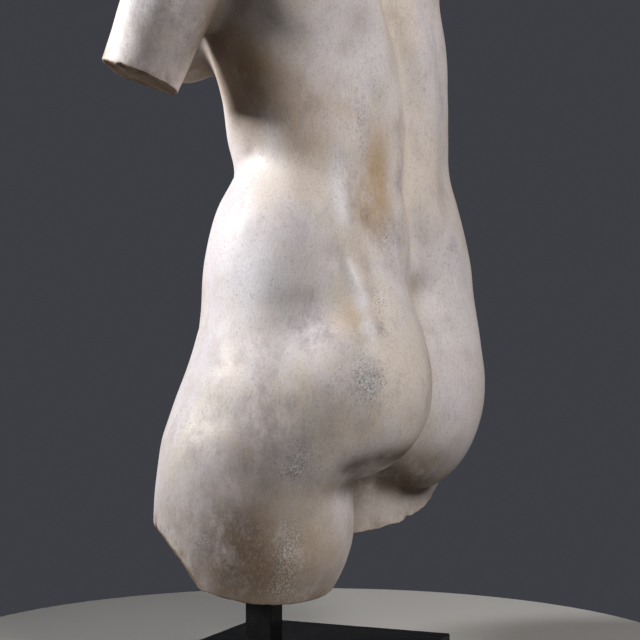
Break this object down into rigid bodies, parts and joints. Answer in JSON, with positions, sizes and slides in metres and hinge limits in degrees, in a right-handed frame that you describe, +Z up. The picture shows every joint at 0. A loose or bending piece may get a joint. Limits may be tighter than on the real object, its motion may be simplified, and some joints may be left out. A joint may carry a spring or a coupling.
{
  "type": "classical torso sculpture on stand",
  "caption": "Broken classical female torso in pale weathered stone, held upright by a square black steel post set in one thigh and a square steel base plate.",
  "frame": {"origin": "middle of the base plate's underside", "axes": "+Z up; +Y the way the figure's back faces; +X to the figure's left"},
  "size_m": [0.4121, 0.2895, 0.8136],
  "materials": {
    "cast stone": "matt, weathered and stained",
    "black steel": "satin black"
  },
  "bodies": {
    "root": {"torso": "cast stone", "post": "black steel", "base_plate": "black steel"}
  },
  "joints": []
}
